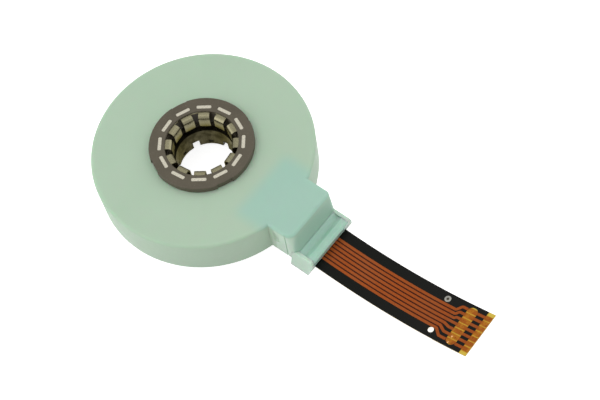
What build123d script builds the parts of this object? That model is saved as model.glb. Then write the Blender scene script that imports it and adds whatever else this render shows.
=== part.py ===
# Steering angle and torque sensor of an electric power steering column, in millimetres.
#
# A flat round housing sits round the steering shaft. The input rotor hangs in the cover's bore and
# grips the input shaft with twelve spring fingers. The output rotor turns in the base's bore and
# grips the output shaft with a spring sleeve. Each rotor carries a sprung wiper over the resistive
# tracks of one board, and a flat ribbon takes the signals out through the neck and its clamp.
#
# Frame: the origin is on the bore's axis in the underside of the housing. +Z points up out of the
# flange, and +X along the neck towards the ribbon's contacts.

from build123d import *
import math
import os

# Shaft and bores
shaft_radius = 10.0
running_gap = 0.08
moulding_gap = 0.1

# Housing cover
housing_radius = 37.5
housing_height = 15.6
cover_wall = 2.4
cover_roof = 1.8
cover_edge_radius = 1.0
cover_foot_radius = 1.6
cover_foot_lift = 0.2
collar_rise = 0.8
collar_width = 1.8

# Housing base
base_thickness = 1.8
base_seat_width = 1.1
lug_count = 6
lug_sweep = 8.0
lug_reach = 0.5
lug_height = 0.6
lug_root = 1.0
lug_play = 1.0
lug_low = 0.6

# Neck
neck_length = 7.8
neck_half_width = 10.5
neck_draft = 2.0
neck_wall = 1.8
neck_root = 20.0
neck_near_corner = 3.0
neck_far_corner = 1.8
neck_edge_radius = 1.0
groove_inset = 2.5
groove_width = 0.5
groove_depth = 0.3
dimple_inset = 6.6
dimple_rise = 2.2
dimple_radius = 1.3
dimple_length = 3.4
dimple_depth = 0.8
gate_radius = 0.6
gate_rise = 0.12
gate_inset = 1.2
gate_shift = 3.8

# Block under the neck's end, with an ear on each side of the cable clamp
block_overlap = 0.7
block_length = 8.3
block_gap = 0.1
block_height = 6.2
block_lean = 1.1
block_foot_half_width = 11.84
block_top_half_width = 10.1
block_corner_radius = 1.3
ear_inset = 9.0
clamp_gap = 0.06
clamp_ridge_inset = 5.8
clamp_trough_inset = 4.3
clamp_trough_depth = 1.2
clamp_lip_inset = 2.7
clamp_lip_width = 1.8
clamp_lip_depth = 0.1
clamp_front_depth = 0.9
clamp_wave_radius = 1.0
latch_length = 2.0
latch_height = 0.8
latch_depth = 0.4
latch_low = 3.0

# Input rotor
finger_room = 1.9
hub_wall = 2.9
flange_overhang = 2.4
flange_rise = 2.37
flange_gap = 0.3
flange_edge_radius = 0.35
flange_rim_chamfer = 0.2
nick_angle = 66.0
nick_radius = 0.6
nick_depth = 0.5
recess_turns = (90.0, 180.0, 270.0)
recess_sweep = 18.0
recess_depth = 0.4
window_count = 12
window_first = 6.58
window_inset = 1.62
window_length = 5.1
window_width = 1.3
window_corner = 0.45
window_gap = 0.06
window_step = 0.1

# Input spring clip
clip_thickness = 0.4
clip_depth = 0.62
clip_margin = 1.23
finger_width = 3.7
finger_bend = 1.2
finger_preload = 0.15
finger_drop = 4.55
finger_flare = 0.7
finger_flare_length = 1.5

# Output rotor
output_wall = 2.1
output_lift = 0.4
output_top_gap = 0.5
stop_angle = 8.0
stop_slack = 0.6
stop_lug_sweep = 18.0
stop_lug_height = 2.4
stop_lug_play = 0.3

# Output spring clip
sleeve_low = 1.0
sleeve_notch_top = 4.0
sleeve_tab_count = 6
sleeve_tab_first = 4.0
sleeve_tab_sweep = 46.0
sleeve_lip_width = 1.6
tab_window_width = 1.6
tab_window_height = 1.2
tab_window_low = 2.0

# Wiper carriers
carrier_post_gap = 1.4
carrier_thickness = 1.2
carrier_hub_height = 1.8
carrier_hub_wall = 1.75
carrier_fit = 0.05
key_count = 4
key_first = 45.0
key_width = 1.8
key_depth = 0.6
hook_places = (65.0, 115.0, 245.0, 295.0)
hook_sweep = 14.0
hook_reach = 0.4
hook_height = 0.6
hook_root = 0.3
rib_count = 8
rib_width = 1.2
rib_rise = 0.5
stud_radius = 0.7
stud_head_radius = 1.1
stud_head_height = 0.3

# Wipers
wiper_thickness = 0.2
wiper_hub_gap = 1.4
wiper_rim_gap = 1.7
wiper_plate_length = 4.0
wiper_finger_count = 3
wiper_finger_share = 0.36
wiper_finger_length = 6.4
wiper_tip_length = 1.0
wiper_tip_share = 0.68
wiper_tip_gap = 0.08
wiper_bend = 0.5

# Sensor board
board_thickness = 1.6
board_bore_gap = 1.0
board_edge_gap = 0.5
board_tongue_gap = 4.3
board_tongue_inset = 0.8
track_share = 0.5
track_thickness = 0.06
post_count = 6
post_first = 30.0
post_inset = 2.7
post_radius = 1.5
pin_radius = 0.8
pin_head_radius = 1.3
pin_head_height = 0.5
solder_length = 2.6
solder_height = 0.15
solder_inset = 0.2

# Slide rings
slide_ring_thickness = 0.5
slide_ring_play = 0.3
slide_ring_gap = 0.2

# Ribbon
ribbon_half_width = 8.25
ribbon_shift = -0.15
ribbon_run = 57.3
exit_height = 1.2
exit_slope = -0.08
ribbon_bend = 137.0
base_film = 0.12
cover_film = 0.1
trace_thickness = 0.12
pad_thickness = 0.08
ribbon_board_overlap = 3.8
ribbon_drop_gap = 1.4
ribbon_inner_bend = 1.2
trace_count = 7
trace_width = 0.95
trace_pitch = 1.4
trace_centre = -0.25
trace_turn_radius = 0.6
near_fan_gap = 3.2
near_fan_stagger = 0.5
near_fan_run = 2.1
far_fan_gap = 1.3
far_fan_stagger = 0.6
far_fan_run = 0.4
pad_pitch = 2.03
pad_width = 1.84
sight_width = 3.5
sight_length = 14.6
sight_centre = -0.1
stub_length = 2.7
strip_length = 2.4
hole_radius = 1.0
hole_tip_gap = 14.4
hole_shift = -5.87
eyelet_tip_gap = 16.1
eyelet_shift = 5.83
eyelet_radius = 1.1
eyelet_hole = 0.5
eyelet_wall = 0.25
eyelet_lip = 0.08
stiffener_length = 12.2
stiffener_thickness = 0.2

# Radii that follow from the sizes above
cover_inner_radius = housing_radius - cover_wall
seat_radius = cover_inner_radius + base_seat_width
base_radius = seat_radius - moulding_gap
hub_inner_radius = shaft_radius + clip_thickness + finger_room
hub_outer_radius = hub_inner_radius + hub_wall
cover_bore = hub_outer_radius + running_gap
collar_radius = cover_bore + collar_width
flange_radius = hub_outer_radius + flange_overhang
window_circle = hub_inner_radius + window_inset
clip_outer_radius = window_circle + window_width / 2 + clip_margin
sleeve_outer_radius = shaft_radius + clip_thickness
sleeve_lip_radius = sleeve_outer_radius + sleeve_lip_width
output_hub_radius = sleeve_outer_radius + output_wall
base_bore = output_hub_radius + running_gap
carrier_bore = hub_outer_radius + carrier_fit
carrier_hub_radius = carrier_bore + carrier_hub_wall
post_circle = cover_inner_radius - post_inset
carrier_radius = post_circle - post_radius - carrier_post_gap
board_bore = carrier_hub_radius + board_bore_gap
wiper_inner = carrier_hub_radius + wiper_hub_gap
wiper_outer = carrier_radius - wiper_rim_gap
wiper_pitch = (wiper_outer - wiper_inner) / wiper_finger_count

# Heights that follow
roof_underside = housing_height - cover_roof
middle = (base_thickness + roof_underside) / 2
flange_low = housing_height + flange_gap
flange_top = housing_height + flange_rise
clip_top = flange_top - clip_depth
clip_low = clip_top - clip_thickness
clip_level = clip_top - clip_thickness / 2
board_top = middle + board_thickness / 2
board_low = middle - board_thickness / 2
base_collar_top = base_thickness + collar_rise
collar_low = roof_underside - collar_rise
hub_shoulder = base_collar_top + slide_ring_thickness + slide_ring_gap
carrier_face = middle - hub_shoulder - carrier_hub_height
carrier_board_distance = carrier_face - board_thickness / 2
input_carrier_low = middle + carrier_face
output_carrier_top = middle - carrier_face
hub_end_height = input_carrier_low - hook_height
output_top_height = hub_end_height - output_top_gap

# Places along the neck and the ribbon that follow
neck_reach = housing_radius + neck_length
neck_inner_half = neck_half_width - neck_wall
block_start = neck_reach - block_overlap
exit_reach = block_start + block_length
exit_angle = math.atan(exit_slope)
board_tongue_reach = neck_reach - board_tongue_gap
ribbon_inner_end = board_tongue_reach - ribbon_board_overlap
ribbon_inner_height = board_low - solder_height - trace_thickness / 2
ribbon_drop = board_tongue_reach + ribbon_drop_gap
run_start = neck_reach - neck_wall / 2
ribbon_tip = exit_reach + ribbon_run
strip_start = ribbon_tip - strip_length
sight_high = strip_start - stub_length
sight_low = sight_high - sight_width
hole_place = (ribbon_tip - hole_tip_gap, hole_shift)
eyelet_place = (ribbon_tip - eyelet_tip_gap, eyelet_shift)
bend_centre = (
    exit_reach - ribbon_bend * math.sin(exit_angle),
    exit_height + ribbon_bend * math.cos(exit_angle),
)
tip_angle = math.asin((ribbon_tip - bend_centre[0]) / ribbon_bend)
film_low = -base_film - trace_thickness / 2
film_top = -trace_thickness / 2

# How far the cutters of a plan run up and down, and how near a plane an edge counts as on it
cutter_reach = 100.0
plane_margin = 0.01


def ring(inner, outer, low, high):
    """A tube between two radii and two heights."""
    return Pos(0, 0, low) * extrude(Circle(outer) - Circle(inner), high - low)


def disc(radius, low, high):
    """A round plate between two heights."""
    return Pos(0, 0, low) * extrude(Circle(radius), high - low)


def block(x_low, x_high, y_low, y_high, z_low, z_high):
    """A rectangular block between its lowest and highest corners."""
    size = Box(x_high - x_low, y_high - y_low, z_high - z_low, align=Align.MIN)
    return Pos(x_low, y_low, z_low) * size


def turned(points):
    """The body that an outline of (radius, height) points makes about the bore's axis."""
    return revolve(make_face(Plane.XZ * Polyline(*points, close=True)), Axis.Z)


def wedge(centre, sweep, low, high, reach=housing_radius):
    """A wedge of the plan about the bore's axis, centred on an angle in degrees."""
    side = reach * math.tan(math.radians(sweep / 2))
    outline = make_face(Polyline((0, 0), (reach, -side), (reach, side), close=True))
    return Pos(0, 0, low) * Rot(0, 0, centre) * extrude(outline, high - low)


def around(piece, count, first=0.0):
    """Copies of a piece at equal angles about the bore's axis."""
    return [Rot(0, 0, first + 360 * i / count) * piece for i in range(count)]


def in_profile(outline, y_low, y_high):
    """A body with one outline in the X-Z plane, between two places along Y."""
    return Pos(0, y_high, 0) * extrude(Plane.XZ * outline, y_high - y_low, dir=(0, -1, 0))


def bent_strip(points, thickness, bend):
    """The section of a bent strip whose middle follows points with one bend radius."""
    path = FilletPolyline(*points, radius=bend)
    return trace(path, line_width=thickness)


def neck_block():
    """The neck outside: planar sides, a drafted end wall and rounded corners."""
    outline = Polyline(
        (neck_root, base_thickness),
        (neck_reach + neck_draft, base_thickness),
        (neck_reach, housing_height),
        (neck_root, housing_height),
        close=True,
    )
    neck = in_profile(make_face(outline), -neck_half_width, neck_half_width)
    end_edges = neck.faces().sort_by(Axis.X)[-1].edges().filter_by(Axis.Y, reverse=True)
    neck = fillet(end_edges.sort_by(Axis.Y)[0], neck_near_corner)
    far = neck.edges().filter_by(lambda e: e.center().Y > neck_half_width - plane_margin)
    neck = fillet(far.sort_by(lambda e: e.center().X)[-1], neck_far_corner)
    top = neck.faces().sort_by(Axis.Z)[-1].edges()
    return fillet(top.filter_by(lambda e: e.center().X > neck_root + plane_margin), neck_edge_radius)


def side_marks(side):
    """A soft hollow and an upright groove in one side of the neck, as their cutters."""
    ends = [Pos(0, 0, end * dimple_length / 2) * Sphere(dimple_radius) for end in (-1, 1)]
    hollow = Cylinder(dimple_radius, dimple_length) + ends
    hollow_shift = side * (neck_half_width + dimple_radius - dimple_depth)
    hollow = Pos(neck_reach - dimple_inset, hollow_shift, middle + dimple_rise) * hollow
    groove = Box(groove_width, 2 * groove_depth, 2 * housing_height)
    return [hollow, Pos(neck_reach - groove_inset, side * neck_half_width, 0) * groove]


def housing_cover():
    """The moulded cap: roof, wall, bore collar and hollow neck."""
    cap = disc(housing_radius, cover_foot_lift, housing_height)
    rims = cap.edges().sort_by(Axis.Z)
    cap = fillet(rims[0], cover_foot_radius)
    cap = fillet(cap.edges().sort_by(Axis.Z)[-1], cover_edge_radius)
    cover = cap + neck_block()
    cover -= disc(cover_inner_radius, 0, roof_underside)
    cover -= disc(seat_radius, 0, base_thickness)
    cover -= block(neck_root, neck_reach - neck_wall, -neck_inner_half, neck_inner_half,
                   0, roof_underside)
    mouth_top = block_height + block_gap
    cover -= block(neck_root, exit_reach, -neck_inner_half, neck_inner_half, 0, mouth_top)
    cover -= block(block_start - block_gap, exit_reach, -housing_radius, housing_radius,
                   0, mouth_top)
    cover += disc(collar_radius, collar_low, roof_underside)
    cover -= disc(cover_bore, 0, housing_height)
    pocket = wedge(0, lug_sweep + lug_play, lug_low - moulding_gap, lug_low + lug_height + moulding_gap)
    pocket &= disc(base_radius + lug_reach + moulding_gap, 0, base_thickness)
    cover -= around(pocket, lug_count, post_first)
    cover -= side_marks(-1) + side_marks(1)
    gate = Pos(neck_reach - gate_inset, gate_shift, housing_height)
    return cover + gate * extrude(Circle(gate_radius), gate_rise)


def jaw_line(offset, start):
    """The jaw's sloping line at an offset over the ribbon's middle, from a reach to the exit."""
    shift = (-offset * math.sin(exit_angle), offset * math.cos(exit_angle))
    exit_point = (exit_reach + shift[0], exit_height + shift[1])
    run = start - exit_point[0]
    return (start, exit_point[1] + run * exit_slope), exit_point


def block_profile():
    """The block's outline in the X-Z plane, with its leaning front."""
    return make_face(Polyline(
        (block_start, 0),
        (exit_reach - block_lean, 0),
        (exit_reach, block_height),
        (block_start, block_height),
        close=True,
    ))


def block_body():
    """The block outside: sloping sides and a rounded upper front edge."""
    sides = make_face(Polyline(
        (-block_foot_half_width, 0),
        (block_foot_half_width, 0),
        (block_top_half_width, block_height),
        (-block_top_half_width, block_height),
        close=True,
    ))
    across = Plane(origin=(block_start, 0, 0), x_dir=(0, 1, 0), z_dir=(1, 0, 0))
    body = extrude(across * sides, block_length)
    body &= in_profile(block_profile(), -block_foot_half_width, block_foot_half_width)
    front = body.edges().filter_by(Axis.Y).sort_by(lambda e: e.center().X + e.center().Z)[-1]
    return fillet(front, block_corner_radius)


def clamp_pocket():
    """The space between the ears for the ribbon and the cable clamp, as its cutter."""
    low, exit_point = jaw_line(film_low, block_start - block_length)
    outline = make_face(Polyline(
        low,
        exit_point,
        (exit_reach + block_gap, exit_point[1]),
        (exit_reach + block_gap, housing_height),
        (low[0], housing_height),
        close=True,
    ))
    return in_profile(outline, -ear_inset, ear_inset)


def clamp_latches(grow):
    """The cable clamp's side latches, or with some growth their pockets in the ears."""
    middle_reach = block_start + block_length / 2
    half = latch_length / 2 + grow
    reach = ear_inset - clamp_gap + latch_depth + grow
    low = latch_low - grow
    high = latch_low + latch_height + grow
    return block(middle_reach - half, middle_reach + half, -reach, reach, low, high)


def housing_base():
    """The bottom plate with its bore collar, board posts, tongue and the ears of the block."""
    base = disc(base_radius, 0, base_thickness)
    tongue_half = neck_inner_half - moulding_gap
    base += block(neck_root, block_start, -tongue_half, tongue_half, 0, base_thickness)
    base += block_body()
    base -= clamp_pocket()
    base -= clamp_latches(moulding_gap)
    base += disc(base_bore + collar_width, base_thickness, base_collar_top)
    base -= disc(base_bore, 0, base_collar_top)
    post = disc(post_radius, base_thickness, board_low)
    post += disc(pin_radius, board_low, board_top)
    post += disc(pin_head_radius, board_top, board_top + pin_head_height)
    base += around(Pos(post_circle, 0, 0) * post, post_count, post_first)
    lug = wedge(0, lug_sweep, lug_low, lug_low + lug_height)
    lug &= ring(base_radius - lug_root, base_radius + lug_reach, 0, base_thickness)
    return base + around(lug, lug_count, post_first)


def cable_clamp():
    """The moulded bar that presses the ribbon on the jaw, with a trough and a broad lip."""
    low, exit_point = jaw_line(trace_thickness / 2 + clamp_gap, block_start)
    lip_start = exit_reach - clamp_lip_inset
    lip_height = block_height - clamp_lip_depth
    wave = FilletPolyline(
        (block_start, block_height),
        (exit_reach - clamp_ridge_inset, block_height),
        (exit_reach - clamp_trough_inset, block_height - clamp_trough_depth),
        (lip_start, lip_height),
        (lip_start + clamp_lip_width, lip_height),
        (exit_reach, block_height - clamp_front_depth),
        radius=clamp_wave_radius,
    )
    rest = Polyline(wave @ 1, exit_point, low, wave @ 0)
    profile = make_face(wave + rest) & block_profile()
    inset = ear_inset - clamp_gap
    bar = in_profile(profile, -inset, inset)
    return bar + (clamp_latches(0) - bar)


def window_outlines(shrink):
    """The twelve straight slots of the flange in plan, drawn smaller by a margin all round."""
    slot = RectangleRounded(window_width - 2 * shrink, window_length - 2 * shrink,
                            window_corner - shrink)
    return around(Pos(window_circle, 0) * slot, window_count, window_first)


def key_grooves(low, high):
    """The grooves in a hub's outside that a wiper carrier's keys slide in."""
    half = key_width / 2 + moulding_gap
    depth = key_depth + moulding_gap
    groove = block(hub_outer_radius - depth, hub_outer_radius + depth, -half, half, low, high)
    return around(groove, key_count, key_first)


def hub_hooks(low, high):
    """The small hooks outside a hub that hold its wiper carrier, between two heights."""
    hooks = ring(hub_outer_radius - hook_root, hub_outer_radius + hook_reach, low, high)
    return [hooks & wedge(place, hook_sweep, low, high) for place in hook_places]


def flange_body():
    """The round flange, bevelled inside, with a small nick and shallow recesses in its rim."""
    flange = ring(hub_inner_radius, flange_radius, flange_low, flange_top)
    rims = flange.faces().sort_by(Axis.Z)[-1].edges().sort_by(lambda e: e.radius)
    flange = chamfer(rims[0], flange_rim_chamfer)
    rims = flange.faces().sort_by(Axis.Z)[-1].edges().sort_by(lambda e: e.radius)
    flange = fillet(rims[-1], flange_edge_radius)
    nick = Pos(flange_radius + nick_radius - nick_depth, 0) * Circle(nick_radius)
    nick = extrude(nick, flange_top)
    recess = ring(flange_radius - recess_depth, housing_radius, flange_low, flange_top)
    recess &= wedge(0, recess_sweep, flange_low, flange_top)
    cutters = [nick] + [Rot(0, 0, turn) * recess for turn in recess_turns]
    return flange - [Rot(0, 0, nick_angle) * cutter for cutter in cutters]


def input_rotor():
    """The dark moulded hub and flange, with windows over the clip and stop notches below."""
    rotor = flange_body()
    rotor += ring(hub_inner_radius, hub_outer_radius, hub_end_height, flange_low)
    rotor -= ring(hub_inner_radius, clip_outer_radius, clip_low, clip_top)
    for outline in window_outlines(0):
        rotor -= Pos(0, 0, clip_top) * extrude(outline, clip_depth)
    notch_sweep = stop_lug_sweep + 2 * (stop_angle + stop_slack)
    notch_top = output_top_height + stop_lug_height + stop_lug_play
    rotor -= around(wedge(0, notch_sweep, hub_end_height, notch_top), 2)
    rotor -= key_grooves(hub_end_height, input_carrier_low + carrier_hub_height)
    return rotor + hub_hooks(input_carrier_low - hook_height, input_carrier_low)


def finger_section():
    """The section of one spring finger: out of the flange, over a bend and down the shaft."""
    land = shaft_radius + clip_thickness / 2 - finger_preload
    land_end = clip_level - finger_drop
    points = [
        (hub_inner_radius + clip_thickness, clip_level),
        (land, clip_level),
        (land, land_end),
        (land + finger_flare, land_end - finger_flare_length),
    ]
    return bent_strip(points, clip_thickness, finger_bend)


def input_spring_clip():
    """The spring steel ring moulded into the flange, with twelve fingers and window pads.

    Each finger is a strip bent over straight lines, with its land coined to the shaft's curve.
    """
    finger = in_profile(finger_section(), -finger_width / 2, finger_width / 2)
    finger -= disc(shaft_radius, 0, flange_top)
    clip = ring(hub_inner_radius, clip_outer_radius, clip_low, clip_top)
    clip += around(finger, window_count, window_first)
    for outline in window_outlines(window_gap):
        clip += Pos(0, 0, clip_top) * extrude(outline, clip_depth - window_step)
    return clip


def sleeve_notches():
    """The gaps between the sleeve's six tabs, as their cutters."""
    sweep = 360 / sleeve_tab_count - sleeve_tab_sweep
    notch = wedge(180 / sleeve_tab_count, sweep, 0, sleeve_notch_top)
    return around(notch & disc(output_hub_radius, 0, sleeve_notch_top),
                  sleeve_tab_count, sleeve_tab_first)


def output_rotor():
    """The moulded hub in the base's bore, notched below, with two stop lugs on its top."""
    lip_low = output_top_height - clip_thickness
    rotor = turned([
        (sleeve_outer_radius, output_lift),
        (output_hub_radius, output_lift),
        (output_hub_radius, hub_shoulder),
        (hub_outer_radius, hub_shoulder),
        (hub_outer_radius, output_top_height),
        (sleeve_lip_radius, output_top_height),
        (sleeve_lip_radius, lip_low),
        (sleeve_outer_radius, lip_low),
    ])
    lugs = ring(hub_inner_radius + stop_lug_play, hub_outer_radius - stop_lug_play,
                output_top_height, output_top_height + stop_lug_height)
    rotor += [lugs & wedge(angle, stop_lug_sweep, 0, housing_height) for angle in (0, 180)]
    rotor -= key_grooves(hub_shoulder, output_top_height)
    rotor -= sleeve_notches()
    return rotor + hub_hooks(output_carrier_top, output_carrier_top + hook_height)


def output_spring_clip():
    """The spring steel sleeve with a lip on top and six tabs at its lower end."""
    sleeve = ring(shaft_radius, sleeve_outer_radius, sleeve_low, output_top_height)
    sleeve += ring(shaft_radius, sleeve_lip_radius, output_top_height - clip_thickness,
                   output_top_height)
    window = block(shaft_radius - clip_thickness, sleeve_outer_radius + clip_thickness,
                   -tab_window_width / 2, tab_window_width / 2,
                   tab_window_low, tab_window_low + tab_window_height)
    sleeve -= sleeve_notches()
    return sleeve - around(window, sleeve_tab_count, sleeve_tab_first)


def wiper_carrier():
    """A wiper carrier at the height where its wiper side lies in the middle plane, hub down."""
    carrier = ring(carrier_bore, carrier_radius, -carrier_thickness, 0)
    carrier += ring(carrier_bore, carrier_hub_radius, -carrier_hub_height, 0)
    rib = block(carrier_bore + carrier_hub_wall / 2, carrier_radius,
                -rib_width / 2, rib_width / 2, -carrier_thickness - rib_rise, -carrier_thickness)
    carrier += around(rib, rib_count)
    key = block(hub_outer_radius - key_depth, carrier_bore + carrier_hub_wall / 2,
                -key_width / 2, key_width / 2, -carrier_hub_height, 0)
    carrier += around(key, key_count, key_first)
    stud = disc(stud_radius, 0, wiper_thickness)
    stud += disc(stud_head_radius, wiper_thickness, wiper_thickness + stud_head_height)
    return carrier + [Pos(x, y, 0) * stud for x, y in stud_places()]


def stud_places():
    """Where the two studs hold the wiper's plate."""
    y = -wiper_plate_length / 2
    inset = 2 * stud_radius
    return [(wiper_inner + inset, y), (wiper_outer - inset, y)]


def finger_places():
    """How far from the bore's axis the wiper's fingers stand."""
    return [wiper_inner + (i + 0.5) * wiper_pitch for i in range(wiper_finger_count)]


def wiper():
    """The sprung contact: a plate on the carrier's face and fingers that bend to the tracks."""
    plate = block(wiper_inner, wiper_outer, -wiper_plate_length, 0, 0, wiper_thickness)
    plate -= [Pos(x, y, 0) * Cylinder(stud_radius, 3 * wiper_thickness) for x, y in stud_places()]
    reach = carrier_board_distance - track_thickness - wiper_tip_gap - wiper_thickness / 2
    level = wiper_thickness / 2
    points = [
        (-wiper_bend, level),
        (wiper_bend, level),
        (wiper_finger_length - wiper_tip_length, reach),
        (wiper_finger_length, level + (reach - level) * wiper_tip_share),
    ]
    section = bent_strip(points, wiper_thickness, wiper_bend)
    finger = extrude(Plane.YZ * section, wiper_finger_share * wiper_pitch / 2, both=True)
    return plate + [Pos(place, 0, 0) * finger for place in finger_places()]


def on_input_side(piece):
    """A piece of the output side, turned over to the same place on the input side."""
    return Pos(0, 0, input_carrier_low) * Rot(180, 0, 0) * piece


def on_output_side(piece):
    """A piece raised to the output side's carrier face."""
    return Pos(0, 0, output_carrier_top) * piece


def tracks(low):
    """The concentric resistive rings that the wiper's tips run on, from one height."""
    tip = wiper_finger_length - wiper_tip_length
    half_width = track_share * wiper_pitch / 2
    radii = [math.hypot(place, tip) for place in finger_places()]
    return [ring(r - half_width, r + half_width, low, low + track_thickness) for r in radii]


def sensor_board():
    """The ring-shaped board with a tongue in the neck and holes for the base's pins."""
    board = disc(cover_inner_radius - board_edge_gap, board_low, board_top)
    tongue_half = neck_inner_half - board_tongue_inset
    board += block(neck_root, board_tongue_reach, -tongue_half, tongue_half,
                   board_low, board_top)
    board -= disc(board_bore, board_low, board_top)
    hole = disc(pin_radius + moulding_gap / 2, board_low, board_top)
    return board - around(Pos(post_circle, 0, 0) * hole, post_count, post_first)


def slide_ring(bore, low):
    """A thin ring on a collar round a bore, for the turning side to run on."""
    return ring(bore + slide_ring_play, bore + collar_width, low, low + slide_ring_thickness)


def on_ribbon(angle, offset):
    """The point of the ribbon's bend at an angle, an offset above the ribbon's middle."""
    reach = ribbon_bend - offset
    return (
        bend_centre[0] + reach * math.sin(angle),
        bend_centre[1] - reach * math.cos(angle),
    )


def ribbon_sheet(low, high, y_low, y_high):
    """A layer of the ribbon from the neck's end wall to the tip, between two offsets."""
    half_angle = (exit_angle + tip_angle) / 2
    length = (exit_reach - run_start) / math.cos(exit_angle)

    def start(offset):
        x, z = on_ribbon(exit_angle, offset)
        return (x - length * math.cos(exit_angle), z - length * math.sin(exit_angle))

    def arc(offset):
        return ThreePointArc(on_ribbon(exit_angle, offset), on_ribbon(half_angle, offset),
                             on_ribbon(tip_angle, offset))

    outline = [
        Line(start(low), on_ribbon(exit_angle, low)),
        arc(low),
        Line(on_ribbon(tip_angle, low), on_ribbon(tip_angle, high)),
        arc(high),
        Line(on_ribbon(exit_angle, high), start(high)),
        Line(start(high), start(low)),
    ]
    return in_profile(make_face(Curve() + outline), y_low, y_high)


def inner_run(low, high, y_low, y_high):
    """The hidden run of a layer, from the board's tongue down to the neck's end wall."""
    def on_jaw(reach):
        return exit_height + (reach - exit_reach) * exit_slope

    path = Plane.XZ * FilletPolyline(
        (ribbon_inner_end, ribbon_inner_height),
        (ribbon_drop, ribbon_inner_height),
        (ribbon_drop, on_jaw(ribbon_drop)),
        (run_start, on_jaw(run_start)),
        radius=ribbon_inner_bend,
    )
    section = Plane(origin=path @ 0, x_dir=(0, 1, 0), z_dir=path % 0)
    section *= Pos((y_low + y_high) / 2, (low + high) / 2) * Rectangle(y_high - y_low, high - low)
    return sweep(section, path=path)


def plan_prism(outline):
    """An outline in plan, carried straight up and down through the ribbon."""
    return extrude(outline, cutter_reach, both=True)


def plan_strip(x_low, x_high, y_low, y_high):
    """A rectangle in plan between its corners."""
    return Pos(x_low, y_low) * Rectangle(x_high - x_low, y_high - y_low, align=Align.MIN)


def trace_levels(index):
    """A trace's place across the ribbon in the straight run and in the fan."""
    step = index - (trace_count - 1) / 2
    return trace_centre + step * trace_pitch, trace_centre + step * pad_pitch


def trace_outline(index):
    """The plan of one trace, from the neck to the sight window, with its jog in the fan."""
    straight, spread = trace_levels(index)
    steps = abs(index - (trace_count - 1) / 2)
    if steps == 0:
        return plan_strip(run_start - trace_width, sight_low, straight - trace_width / 2,
                          straight + trace_width / 2)
    if spread < straight:
        turn = sight_low - near_fan_gap - near_fan_stagger * steps
        run = near_fan_run
    else:
        turn = sight_low - far_fan_gap - far_fan_stagger * steps
        run = far_fan_run * steps
    path = FilletPolyline(
        (run_start - trace_width, straight),
        (turn, straight),
        (turn + run, spread),
        (sight_low, spread),
        radius=trace_turn_radius,
    )
    return trace(path, line_width=trace_width)


def stub_outline(index):
    """The plan of a trace between the sight window and the contact strip."""
    spread = trace_levels(index)[1]
    return plan_strip(sight_high, strip_start, spread - trace_width / 2, spread + trace_width / 2)


def sight_outline():
    """The long window with round ends across the ribbon."""
    slot = SlotOverall(sight_length, sight_width, rotation=90)
    return Pos((sight_low + sight_high) / 2, sight_centre) * slot


def ribbon_place(place):
    """The location of a point of the plan on the ribbon's middle, square to the ribbon."""
    angle = math.asin((place[0] - bend_centre[0]) / ribbon_bend)
    x, z = on_ribbon(angle, 0)
    return Pos(x, place[1], z) * Rot(0, -math.degrees(angle), 0)


def ribbon_holes():
    """The two round holes through the ribbon, as their cutters."""
    depth = 3 * (base_film + trace_thickness)
    plain = ribbon_place(hole_place) * Cylinder(hole_radius, depth)
    eyelet = ribbon_place(eyelet_place) * Cylinder(eyelet_hole + eyelet_wall, depth)
    return [plain, eyelet]


def ribbon_edges():
    """The ribbon's two long edges across the frame."""
    return ribbon_shift - ribbon_half_width, ribbon_shift + ribbon_half_width


def ribbon_base_film():
    """The amber film that carries the traces, from the board to the tip."""
    film = ribbon_sheet(film_low, film_top, *ribbon_edges())
    film += inner_run(film_low, film_top, *ribbon_edges())
    return film - ribbon_holes()


def ribbon_cover_film():
    """The black film round the traces, open at the sight window and the contact strip."""
    film = ribbon_sheet(film_top, film_top + cover_film, *ribbon_edges())
    film -= plan_prism(sight_outline())
    film -= plan_prism(plan_strip(strip_start, 2 * ribbon_tip, -cutter_reach, cutter_reach))
    for i in range(trace_count):
        film -= plan_prism(trace_outline(i))
        film -= plan_prism(stub_outline(i))
    return film - ribbon_holes()


def ribbon_traces():
    """Seven copper traces and their short ends past the window."""
    layer = ribbon_sheet(film_top, film_top + trace_thickness, *ribbon_edges())
    pieces = []
    for i in range(trace_count):
        straight = trace_levels(i)[0]
        long_trace = layer & plan_prism(trace_outline(i))
        long_trace -= plan_prism(sight_outline())
        long_trace += inner_run(film_top, film_top + trace_thickness,
                                straight - trace_width / 2, straight + trace_width / 2)
        pieces.append(long_trace)
        short_trace = layer & plan_prism(stub_outline(i))
        pieces.append(short_trace - plan_prism(sight_outline()))
    return pieces


def ribbon_contacts():
    """Seven plated pads in the sight window and seven at the tip."""
    layer = ribbon_sheet(film_top, film_top + pad_thickness, *ribbon_edges())
    pieces = []
    for i in range(trace_count):
        spread = trace_levels(i)[1]
        low = spread - pad_width / 2
        high = spread + pad_width / 2
        sight_pad = plan_prism(plan_strip(sight_low, sight_high, low, high))
        pieces.append(layer & (sight_pad & plan_prism(sight_outline())))
        pieces.append(layer & plan_prism(plan_strip(strip_start, 2 * ribbon_tip, low, high)))
    return pieces


def ribbon_stiffener():
    """The stiff backing under the contact end."""
    layer = ribbon_sheet(film_low - stiffener_thickness, film_low, *ribbon_edges())
    start = ribbon_tip - stiffener_length
    return layer & plan_prism(plan_strip(start, 2 * ribbon_tip, -cutter_reach, cutter_reach))


def ribbon_eyelet():
    """The small metal eyelet in one of the two holes."""
    top = film_top + cover_film
    wall = eyelet_hole + eyelet_wall
    eyelet = ring(eyelet_hole, wall, film_low - eyelet_lip, top + eyelet_lip)
    eyelet += ring(eyelet_hole, eyelet_radius, top, top + eyelet_lip)
    eyelet += ring(eyelet_hole, eyelet_radius, film_low - eyelet_lip, film_low)
    return ribbon_place(eyelet_place) * eyelet


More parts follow.
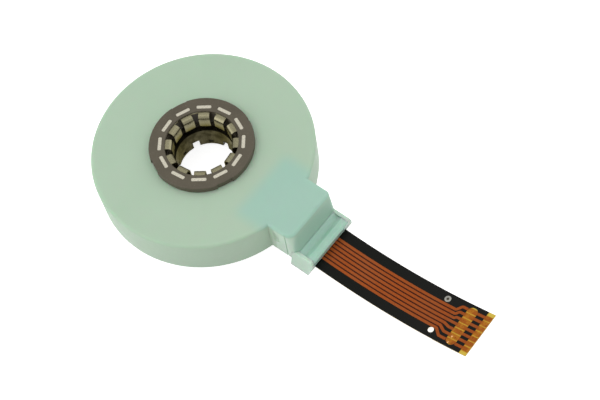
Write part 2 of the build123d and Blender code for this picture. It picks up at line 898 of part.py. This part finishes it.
def solder_joints():
    """Seven flat solder joints between the traces' inner ends and the board."""
    low = board_low - solder_height
    start = ribbon_inner_end + solder_inset
    joints = []
    for i in range(trace_count):
        straight = trace_levels(i)[0]
        joints.append(block(start, start + solder_length, straight - trace_width / 2,
                            straight + trace_width / 2, low, board_low))
    return joints


def as_compound(shapes):
    """Several separate solids as one node."""
    return Compound(children=[solid for shape in shapes for solid in shape.solids()])


nodes = {
    "housing_cover": housing_cover(),
    "housing_base": housing_base(),
    "cable_clamp": cable_clamp(),
    "input_rotor": input_rotor(),
    "input_spring_clip": input_spring_clip(),
    "input_wiper_carrier": on_input_side(wiper_carrier()),
    "input_wiper": on_input_side(wiper()),
    "output_rotor": output_rotor(),
    "output_spring_clip": output_spring_clip(),
    "output_wiper_carrier": on_output_side(wiper_carrier()),
    "output_wiper": on_output_side(wiper()),
    "sensor_board": sensor_board(),
    "upper_tracks": as_compound(tracks(board_top)),
    "lower_tracks": as_compound(tracks(board_low - track_thickness)),
    "upper_slide_ring": slide_ring(cover_bore, collar_low - slide_ring_thickness),
    "lower_slide_ring": slide_ring(base_bore, base_collar_top),
    "solder_joints": as_compound(solder_joints()),
    "ribbon_base_film": ribbon_base_film(),
    "ribbon_cover_film": ribbon_cover_film(),
    "ribbon_traces": as_compound(ribbon_traces()),
    "ribbon_contacts": as_compound(ribbon_contacts()),
    "ribbon_stiffener": ribbon_stiffener(),
    "ribbon_eyelet": ribbon_eyelet(),
}

os.makedirs("parts", exist_ok=True)
for name, shape in nodes.items():
    export_step(shape, f"parts/{name}.step")
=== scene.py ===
# Looks of the steering angle sensor: finishes, camera, floor and soft studio light.
# Places are in metres in the part's own frame unless a name says millimetres.

import math

import bmesh
import bpy
from mathutils import Matrix, Vector


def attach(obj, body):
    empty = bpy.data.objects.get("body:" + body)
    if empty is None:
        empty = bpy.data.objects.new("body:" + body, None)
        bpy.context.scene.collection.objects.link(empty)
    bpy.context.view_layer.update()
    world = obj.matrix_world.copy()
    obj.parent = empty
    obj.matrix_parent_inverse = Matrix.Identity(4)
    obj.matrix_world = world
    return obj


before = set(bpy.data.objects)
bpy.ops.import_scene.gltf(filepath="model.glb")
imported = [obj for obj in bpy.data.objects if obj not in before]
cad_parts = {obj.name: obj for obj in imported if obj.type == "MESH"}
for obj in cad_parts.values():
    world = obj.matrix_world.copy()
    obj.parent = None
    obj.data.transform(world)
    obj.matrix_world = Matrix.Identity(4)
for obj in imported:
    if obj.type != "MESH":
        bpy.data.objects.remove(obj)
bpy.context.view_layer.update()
mm = 0.001

# Camera: where it stands, how it is turned, and its focal length for a 36 mm sensor
camera_place = Vector((188.98, -135.78, 379.68)) * mm
camera_right = Vector((0.78526, 0.61248, -0.0908))
camera_up = Vector((-0.50412, 0.71758, 0.48056))
sensor_width = 36.0
focal_pixels = 1305.2
photo_width = 600

# Where the housing's colours change, in millimetres
tint_start = 22.0
tint_end = 27.5
tint_half_width = 13.0
tint_softness = 3.0
tint_low = 13.5
tint_high = 15.4
# The neck's walls below its top: the sides are painted paler than the top as painted light, the end
# wall keeps the bluer tone.
neck_side_start = 37.8
neck_end_start = 44.8
neck_softness = 1.0

# Where the spring steel's colours change over its height, in millimetres; the fingers are painted
# darker low in the bore, as painted shade
finger_painted_shade_end = 11.5
finger_unshaded_start = 15.5
window_pad_start = 17.36
window_pad_full = 17.5

# Where the ribbon's colours change, in millimetres, and a pad's side as a share of the pitch
film_dark_end = 62.0
film_grey_start = 94.0
fan_start = 97.0
fan_softness = 2.0
trace_centre = -0.25
trace_band = 4.5
trace_band_softness = 0.2
pad_pitch = 2.03
pad_side_start = 0.34
pad_side_full = 0.46

# The ribbon's bend and the small beads on it, in millimetres
ribbon_bend = 137.0
bend_centre = (63.83, 137.76)
eyelet_place = (94.1, 5.83)
bump_places = ((102.81, -4.62), (102.85, -6.87))
bead_root_share = 0.2

# Shading, floor and surround
subsurface_reach = (0.0012, 0.0026, 0.0016)
weld_distance = 0.5e-6
smooth_limit = math.radians(35)
floor_half_width = 3.0
floor_drop = 0.05 * mm
floor_paleness = 0.7
floor_glow = 0.82
surround_strength = 0.7


def linear(red, green, blue):
    """A colour given as 0 to 255 screen values, as the linear colour that shaders take."""
    def channel(value):
        value /= 255
        return value / 12.92 if value <= 0.04045 else ((value + 0.055) / 1.055) ** 2.4
    return (channel(red), channel(green), channel(blue), 1.0)


class Finish:
    """A material and short ways to add the nodes that it is made of."""

    def __init__(self, name, roughness, metallic=0.0, specular=0.5, subsurface=0.0):
        self.material = bpy.data.materials.new(name)
        self.material.use_nodes = True
        self.tree = self.material.node_tree
        self.shader = self.tree.nodes["Principled BSDF"]
        self.shader.inputs["Roughness"].default_value = roughness
        self.shader.inputs["Metallic"].default_value = metallic
        self.shader.inputs["Specular IOR Level"].default_value = specular
        self.shader.inputs["Subsurface Weight"].default_value = subsurface
        self.shader.inputs["Subsurface Radius"].default_value = subsurface_reach
        self.shader.inputs["Subsurface Scale"].default_value = 1.0
        self.place = self.add("ShaderNodeTexCoord").outputs["Object"]

    def add(self, kind, **settings):
        node = self.tree.nodes.new(kind)
        for key, value in settings.items():
            setattr(node, key, value)
        return node

    def feed(self, socket, value):
        """A value or another node's output into a socket."""
        if isinstance(value, bpy.types.NodeSocket):
            self.tree.links.new(value, socket)
        else:
            socket.default_value = value

    def stretched(self, x, y, z):
        """The place, stretched by a scale along each axis."""
        node = self.add("ShaderNodeMapping")
        self.feed(node.inputs["Vector"], self.place)
        node.inputs["Scale"].default_value = (x, y, z)
        return node.outputs["Vector"]

    def noise(self, scale, detail=3.0, roughness=0.5, vector=None):
        """Noise from 0 to 1, with scale in waves per metre."""
        node = self.add("ShaderNodeTexNoise")
        self.feed(node.inputs["Vector"], vector or self.place)
        self.feed(node.inputs["Scale"], scale)
        node.inputs["Detail"].default_value = detail
        node.inputs["Roughness"].default_value = roughness
        return node.outputs["Fac"]

    def axis(self, name):
        """One of the part's coordinates, in millimetres."""
        split = self.add("ShaderNodeSeparateXYZ")
        self.feed(split.inputs["Vector"], self.place)
        return self.math("MULTIPLY", split.outputs[name], 1 / mm)

    def math(self, operation, first, second=0.0):
        node = self.add("ShaderNodeMath", operation=operation)
        self.feed(node.inputs[0], first)
        self.feed(node.inputs[1], second)
        return node.outputs["Value"]

    def ramp(self, value, low, high, out_low=0.0, out_high=1.0):
        """A value's smooth share of the way from low to high."""
        node = self.add("ShaderNodeMapRange", interpolation_type="SMOOTHSTEP")
        self.feed(node.inputs["Value"], value)
        node.inputs["From Min"].default_value = low
        node.inputs["From Max"].default_value = high
        node.inputs["To Min"].default_value = out_low
        node.inputs["To Max"].default_value = out_high
        return node.outputs["Result"]

    def mix(self, share, first, second):
        """Two colours mixed by a share."""
        node = self.add("ShaderNodeMix", data_type="RGBA")
        self.feed(node.inputs[0], share)
        self.feed(node.inputs[6], first)
        self.feed(node.inputs[7], second)
        return node.outputs[2]

    def colour(self, value):
        self.feed(self.shader.inputs["Base Color"], value)

    def roughness(self, value):
        self.feed(self.shader.inputs["Roughness"], value)

    def bump(self, height, distance, strength):
        """A fine relief from a height of 0 to 1, with its depth in metres."""
        node = self.add("ShaderNodeBump")
        node.inputs["Distance"].default_value = distance
        node.inputs["Strength"].default_value = strength
        self.feed(node.inputs["Height"], height)
        self.feed(self.shader.inputs["Normal"], node.outputs["Normal"])


def mint_plastic():
    """The housing's matt plastic: green on the disc, bluer on the neck, with the neck's sides painted
    paler than its top as painted light.
    """
    look = Finish("mint_plastic", roughness=0.48, specular=0.4, subsurface=0.5)
    cloud = look.noise(45, detail=2)
    along = look.ramp(look.axis("X"), tint_start, tint_end)
    across = look.math("ABSOLUTE", look.axis("Y"))
    inside = look.ramp(across, tint_half_width - tint_softness, tint_half_width + tint_softness, 1, 0)
    green = look.mix(cloud, linear(172, 196, 173), linear(177, 200, 177))
    blue = look.mix(cloud, linear(158, 195, 179), linear(165, 200, 184))
    on_top = look.ramp(look.axis("Z"), tint_low, tint_high)
    tint = look.math("MULTIPLY", look.math("MULTIPLY", along, inside), on_top)
    shell = look.mix(tint, green, blue)
    # Painted light: the neck's side walls below its top are painted paler than the top, the end wall
    # keeps the bluer tone.
    below = look.math("SUBTRACT", 1.0, on_top)
    past_disc = look.ramp(look.axis("X"), neck_side_start, neck_side_start + neck_softness)
    neck = look.math("MULTIPLY", below, past_disc)
    end = look.ramp(look.axis("X"), neck_end_start, neck_end_start + neck_softness)
    neck_wall_painted_light = look.mix(end, linear(194, 218, 199), linear(160, 195, 176))
    look.colour(look.mix(neck, shell, neck_wall_painted_light))
    look.roughness(look.ramp(look.noise(900, detail=4), 0.3, 0.7, 0.42, 0.54))
    look.bump(look.noise(3500, detail=4), 0.00004, 0.35)
    return look.material


def small_moulding(name, dark, bright):
    """The clamp's and the base's plastic, smoother and more translucent than the cover's."""
    look = Finish(name, roughness=0.4, specular=0.45, subsurface=0.6)
    cloud = look.noise(120, detail=3)
    look.colour(look.mix(look.ramp(cloud, 0.3, 0.7), dark, bright))
    look.roughness(look.ramp(look.noise(700, detail=3), 0.3, 0.7, 0.34, 0.46))
    look.bump(look.noise(2500, detail=3), 0.00003, 0.3)
    return look.material


def flange_plastic():
    """The rotors' dark grey-brown moulding, speckled with fine fibres."""
    look = Finish("flange_plastic", roughness=0.5, specular=0.4)
    speckle = look.noise(1800, detail=5, roughness=0.65)
    cloud = look.noise(160, detail=2)
    base = look.mix(cloud, linear(77, 71, 57), linear(91, 84, 69))
    look.colour(look.mix(look.ramp(speckle, 0.52, 0.72, 0, 0.35), base, linear(118, 110, 92)))
    look.roughness(look.ramp(speckle, 0.3, 0.7, 0.42, 0.58))
    look.bump(speckle, 0.00004, 0.4)
    return look.material


def finger_steel_painted_shade():
    """The input clip's spring steel: pale pads in the windows, olive towards the finger ends, painted
    darker low in the bore as painted shade.
    """
    look = Finish("finger_steel_painted_shade", roughness=0.25, metallic=0.95)
    look.shader.inputs["Specular Tint"].default_value = linear(190, 184, 150)
    height = look.axis("Z")
    streaks = look.noise(1.0, detail=3, vector=look.stretched(2500, 2500, 250))
    # Painted shade: the fingers' steel is darker low in the bore and paler near the top.
    low = look.mix(streaks, linear(98, 94, 66), linear(136, 130, 98))
    high = look.mix(streaks, linear(130, 126, 98), linear(166, 160, 132))
    body = look.mix(look.ramp(height, finger_painted_shade_end, finger_unshaded_start), low, high)
    pad = look.ramp(height, window_pad_start, window_pad_full)
    look.colour(look.mix(pad, body, linear(206, 201, 184)))
    look.feed(look.shader.inputs["Metallic"], look.ramp(pad, 0, 1, 0.95, 0.35))
    look.roughness(look.ramp(streaks, 0.3, 0.7, 0.24, 0.36))
    look.bump(streaks, 0.00002, 0.25)
    return look.material


def sleeve_steel_painted_shade():
    """The output clip's spring steel, olive-grey and coloured dark as painted shade deep in the bore,
    with darker patches.
    """
    look = Finish("sleeve_steel_painted_shade", roughness=0.35, metallic=1.0)
    look.shader.inputs["Specular Tint"].default_value = linear(205, 200, 176)
    patches = look.noise(350, detail=4, roughness=0.6)
    streaks = look.noise(1.0, detail=3, vector=look.stretched(2500, 2500, 300))
    # Painted shade: the steel's colours are dark for the shade deep in the bore.
    warm = look.mix(streaks, linear(64, 61, 47), linear(92, 88, 70))
    look.colour(look.mix(look.ramp(patches, 0.42, 0.62, 0, 0.6), warm, linear(42, 40, 30)))
    look.roughness(look.ramp(patches, 0.3, 0.7, 0.25, 0.5))
    look.bump(streaks, 0.00002, 0.25)
    return look.material


def plain_metal(name, dark, bright, roughness):
    """A worn metal between two colours."""
    look = Finish(name, roughness=roughness, metallic=0.9)
    grain = look.noise(1600, detail=4, roughness=0.6)
    look.colour(look.mix(grain, dark, bright))
    look.roughness(look.ramp(grain, 0.3, 0.7, roughness - 0.08, roughness + 0.08))
    look.bump(grain, 0.00002, 0.2)
    return look.material


def plain_plastic(name, dark, bright, roughness):
    """A plain moulding between two near colours."""
    look = Finish(name, roughness=roughness)
    grain = look.noise(1500, detail=4, roughness=0.6)
    look.colour(look.mix(grain, dark, bright))
    look.roughness(look.ramp(grain, 0.3, 0.7, roughness - 0.06, roughness + 0.06))
    look.bump(grain, 0.00003, 0.3)
    return look.material


def black_film():
    """The ribbon's satin black cover film, a little greyer to its end, red-brown between traces."""
    look = Finish("black_film", roughness=0.4, specular=0.12)
    weave = look.noise(2600, detail=3)
    near = look.mix(weave, linear(7, 9, 6), linear(14, 16, 11))
    far = look.mix(weave, linear(15, 15, 13), linear(26, 26, 23))
    black = look.mix(look.ramp(look.axis("X"), film_dark_end, film_grey_start), near, far)
    gap = look.mix(weave, linear(46, 13, 3), linear(66, 22, 5))
    across = look.math("ABSOLUTE", look.math("SUBTRACT", look.axis("Y"), trace_centre))
    inside = look.ramp(across, trace_band, trace_band + trace_band_softness, 1, 0)
    before_fan = look.ramp(look.axis("X"), fan_start, fan_start + fan_softness, 1, 0)
    look.colour(look.mix(look.math("MULTIPLY", inside, before_fan), black, gap))
    look.roughness(look.ramp(look.noise(60, detail=2), 0.3, 0.7, 0.3, 0.42))
    look.bump(weave, 0.00002, 0.2)
    return look.material


def copper_trace():
    """Copper seen through a thin film, mottled along each trace."""
    look = Finish("copper_trace", roughness=0.42, metallic=0.35, specular=0.15)
    fine = look.noise(1.0, detail=4, roughness=0.6, vector=look.stretched(900, 2600, 900))
    slow = look.noise(130, detail=2)
    warm = look.mix(fine, linear(136, 60, 17), linear(174, 88, 33))
    look.colour(look.mix(look.ramp(slow, 0.35, 0.7, 0, 0.5), warm, linear(150, 82, 42)))
    look.roughness(look.ramp(fine, 0.3, 0.7, 0.32, 0.48))
    look.bump(fine, 0.00002, 0.3)
    return look.material


def amber_film():
    """The bare yellow film of the window and the contact strip."""
    look = Finish("amber_film", roughness=0.3, specular=0.35)
    cloud = look.noise(700, detail=3)
    look.colour(look.mix(cloud, linear(190, 158, 40), linear(214, 188, 72)))
    look.roughness(look.ramp(cloud, 0.3, 0.7, 0.24, 0.36))
    look.bump(cloud, 0.00002, 0.2)
    return look.material


def gold_pad():
    """The amber-gold contact pads, orange in the middle and yellower along their sides."""
    look = Finish("gold_pad", roughness=0.34, metallic=0.4, specular=0.35)
    fine = look.noise(1500, detail=4, roughness=0.6)
    blotch = look.noise(500, detail=2)
    pads = look.math("DIVIDE", look.math("SUBTRACT", look.axis("Y"), trace_centre), pad_pitch)
    off_middle = look.math("SUBTRACT", pads, look.math("ROUND", pads))
    side = look.ramp(look.math("ABSOLUTE", off_middle), pad_side_start, pad_side_full)
    warm = look.mix(fine, linear(142, 68, 4), linear(178, 98, 12))
    warm = look.mix(look.ramp(blotch, 0.45, 0.65, 0, 0.5), warm, linear(194, 130, 24))
    look.colour(look.mix(side, warm, linear(200, 144, 36)))
    look.roughness(look.ramp(fine, 0.3, 0.7, 0.24, 0.4))
    look.bump(fine, 0.00002, 0.25)
    return look.material


def smooth_by_angle():
    """A modifier's node group that shades faces smooth across edges flatter than a limit."""
    group = bpy.data.node_groups.new("smooth_by_angle", "GeometryNodeTree")
    group.interface.new_socket("Geometry", in_out="INPUT", socket_type="NodeSocketGeometry")
    group.interface.new_socket("Geometry", in_out="OUTPUT", socket_type="NodeSocketGeometry")
    nodes = group.nodes
    start = nodes.new("NodeGroupInput")
    end = nodes.new("NodeGroupOutput")
    merge = nodes.new("GeometryNodeMergeByDistance")
    merge.inputs["Distance"].default_value = weld_distance
    faces = nodes.new("GeometryNodeSetShadeSmooth")
    edges = nodes.new("GeometryNodeSetShadeSmooth")
    edges.domain = "EDGE"
    angle = nodes.new("GeometryNodeInputMeshEdgeAngle")
    limit = nodes.new("FunctionNodeCompare")
    limit.data_type = "FLOAT"
    limit.operation = "LESS_EQUAL"
    limit.inputs["B"].default_value = smooth_limit
    link = group.links.new
    link(start.outputs[0], merge.inputs["Geometry"])
    link(merge.outputs["Geometry"], faces.inputs["Geometry"])
    link(faces.outputs["Geometry"], edges.inputs["Geometry"])
    link(angle.outputs["Unsigned Angle"], limit.inputs["A"])
    link(limit.outputs["Result"], edges.inputs["Shade Smooth"])
    link(edges.outputs["Geometry"], end.inputs[0])
    return group


def dress(finishes):
    """Gives each CAD node its finish and smooth shading."""
    group = smooth_by_angle()
    for name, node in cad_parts.items():
        node.data.materials.clear()
        node.data.materials.append(finishes[name])
        shading = node.modifiers.new("smooth_by_angle", "NODES")
        shading.node_group = group


def bead(name, place, height, radius, rise, material):
    """A small shallow dome on the ribbon, at a plan place and a height over the ribbon's middle."""
    lean = math.asin((place[0] - bend_centre[0]) / ribbon_bend)
    reach = ribbon_bend - height
    base = Vector((bend_centre[0] + reach * math.sin(lean), place[1],
                   bend_centre[1] - reach * math.cos(lean)))
    frame_at = Matrix.Translation(base * mm) @ Matrix.Rotation(-lean, 4, "Y")
    body = bmesh.new()
    bmesh.ops.create_uvsphere(body, u_segments=32, v_segments=16, radius=1.0)
    for point in body.verts:
        level = rise if point.co.z > 0 else rise * bead_root_share
        point.co = frame_at @ (Vector((point.co.x * radius, point.co.y * radius,
                                       point.co.z * level)) * mm)
    for face in body.faces:
        face.smooth = True
    mesh = bpy.data.meshes.new(name)
    body.to_mesh(mesh)
    body.free()
    mesh.materials.append(material)
    piece = bpy.data.objects.new(name, mesh)
    bpy.context.scene.collection.objects.link(piece)
    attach(piece, "housing")


def make_camera():
    """The camera at the photograph's view."""
    data = bpy.data.cameras.new("camera")
    data.sensor_width = sensor_width
    data.lens = focal_pixels / photo_width * sensor_width
    data.clip_start = 0.01
    data.clip_end = 20
    camera = bpy.data.objects.new("camera", data)
    bpy.context.scene.collection.objects.link(camera)
    back = camera_right.cross(camera_up).normalized()
    turn = Matrix((camera_right, back.cross(camera_right).normalized(), back)).transposed()
    camera.matrix_world = Matrix.Translation(camera_place) @ turn.to_4x4()
    bpy.context.scene.camera = camera


def make_floor():
    """A plain white floor that keeps the object's soft shadow."""
    half = floor_half_width
    corners = [(-half, -half, 0), (half, -half, 0), (half, half, 0), (-half, half, 0)]
    mesh = bpy.data.meshes.new("floor")
    mesh.from_pydata(corners, [], [(0, 1, 2, 3)])
    floor = bpy.data.objects.new("floor", mesh)
    floor.location.z = -floor_drop
    bpy.context.scene.collection.objects.link(floor)
    look = Finish("floor_white", roughness=0.9, specular=0.0)
    look.colour((floor_paleness, floor_paleness, floor_paleness, 1))
    rays = look.add("ShaderNodeLightPath").outputs
    seen = look.math("MAXIMUM", rays["Is Camera Ray"], rays["Is Glossy Ray"])
    seen = look.math("MAXIMUM", seen, rays["Is Transmission Ray"])
    look.shader.inputs["Emission Color"].default_value = (1, 1, 1, 1)
    look.feed(look.shader.inputs["Emission Strength"], look.math("MULTIPLY", seen, floor_glow))
    mesh.materials.append(look.material)


def area_light(name, place, target, size, power):
    """A soft square lamp that points at a target."""
    data = bpy.data.lights.new(name, "AREA")
    data.shape = "SQUARE"
    data.size = size
    data.energy = power
    lamp = bpy.data.objects.new(name, data)
    lamp.location = place
    aim = Vector(target) - Vector(place)
    lamp.rotation_mode = "QUATERNION"
    lamp.rotation_quaternion = aim.to_track_quat("-Z", "Y")
    bpy.context.scene.collection.objects.link(lamp)


def make_light():
    """Soft lamps round the object and a plain pale surround."""
    target = (0.02, 0, 0.01)
    area_light("key_lamp", (-0.42, -0.6, 0.53), target, 1.0, 3.3)
    area_light("fill_lamp", (0.3, 0.7, 0.45), target, 0.8, 1.5)
    area_light("top_lamp", (-0.1, 0.1, 1.0), target, 0.8, 1.0)
    world = bpy.data.worlds.new("surround")
    bpy.context.scene.world = world
    world.use_nodes = True
    surround = world.node_tree.nodes["Background"]
    surround.inputs["Color"].default_value = (1, 1, 1, 1)
    surround.inputs["Strength"].default_value = surround_strength


mint = mint_plastic()
clamp = small_moulding("clamp_plastic", linear(165, 204, 187), linear(174, 208, 191))
pale = small_moulding("base_plastic", linear(188, 213, 195), linear(196, 218, 202))
brown = flange_plastic()
sleeve = sleeve_steel_painted_shade()
carbon = plain_plastic("carbon_black", linear(24, 24, 25), linear(40, 40, 42), 0.5)
ring_white = plain_plastic("ring_white", linear(214, 210, 200), linear(228, 225, 216), 0.4)
contact = plain_metal("contact_metal", linear(186, 150, 90), linear(214, 184, 120), 0.3)
tin = plain_metal("tin", linear(150, 149, 142), linear(198, 196, 186), 0.34)
# Painted shade: a dark finish for the dome in the eyelet's hole, standing in for the hole's shade.
eyelet_shade = plain_metal("eyelet_painted_shade", linear(66, 62, 52), linear(104, 98, 84), 0.5)
bump = plain_metal("bump_metal", linear(214, 140, 84), linear(238, 186, 128), 0.2)

dress({
    "housing_cover": mint,
    "housing_base": pale,
    "cable_clamp": clamp,
    "input_rotor": brown,
    "input_spring_clip": finger_steel_painted_shade(),
    "input_wiper_carrier": carbon,
    "input_wiper": contact,
    "output_rotor": brown,
    "output_spring_clip": sleeve,
    "output_wiper_carrier": carbon,
    "output_wiper": contact,
    "sensor_board": plain_plastic("board_mask", linear(26, 84, 52), linear(36, 100, 62), 0.35),
    "upper_tracks": carbon,
    "lower_tracks": carbon,
    "upper_slide_ring": ring_white,
    "lower_slide_ring": ring_white,
    "solder_joints": tin,
    "ribbon_base_film": amber_film(),
    "ribbon_cover_film": black_film(),
    "ribbon_traces": copper_trace(),
    "ribbon_contacts": gold_pad(),
    "ribbon_stiffener": plain_plastic("stiffener", linear(168, 140, 70), linear(186, 156, 84), 0.45),
    "ribbon_eyelet": tin,
})
# A dark dome in the eyelet's hole, whose dark colour is painted shade of the hole.
bead("eyelet_shade_dome", eyelet_place, -0.1, 0.49, 0.15, eyelet_shade)
for index, place in enumerate(bump_places):
    bead(f"pad_bump_{index}", place, 0.0, 0.4, 0.2, bump)
make_camera()
make_floor()
make_light()
bpy.context.scene.view_settings.view_transform = "Standard"
